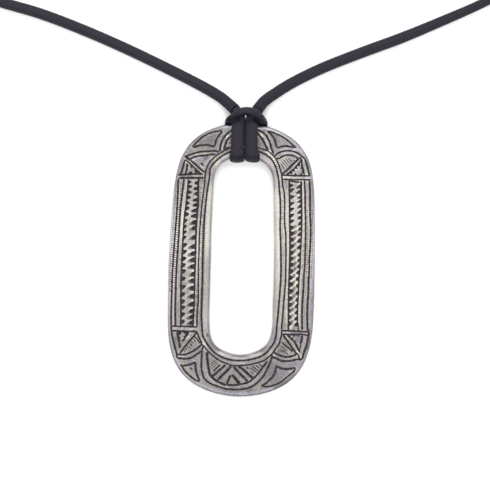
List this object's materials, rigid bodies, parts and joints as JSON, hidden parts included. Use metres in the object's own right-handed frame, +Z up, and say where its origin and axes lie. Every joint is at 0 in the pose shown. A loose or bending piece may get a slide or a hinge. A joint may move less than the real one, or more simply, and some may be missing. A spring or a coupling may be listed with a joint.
{
  "type": "engraved pendant on a black cord",
  "caption": "Oblong silver frame pendant with an open middle and engraved geometric bands, hung by a hitch on a black cord with a barrel clasp.",
  "frame": {"origin": "middle of the bottom of the silver frame's box, on the surface that it lies on", "axes": "+Y along the frame towards the cord, +X across it to the right as seen from the front, +Z up from the surface that it lies on"},
  "size_m": [0.1544, 0.1514, 0.0084],
  "materials": {
    "silver": "hand-filed silver, engraved lines dark with tarnish, worn smooth at the edges",
    "black_cord": "tightly braided black satin cord",
    "clasp_metal": "plain satin silver-plated barrel clasp"
  },
  "bodies": {
    "root": {"pendant_frame": "silver", "cord_hitch": "black_cord", "neck_cord_left": "black_cord", "neck_cord_right": "black_cord", "clasp": "clasp_metal"}
  },
  "joints": []
}
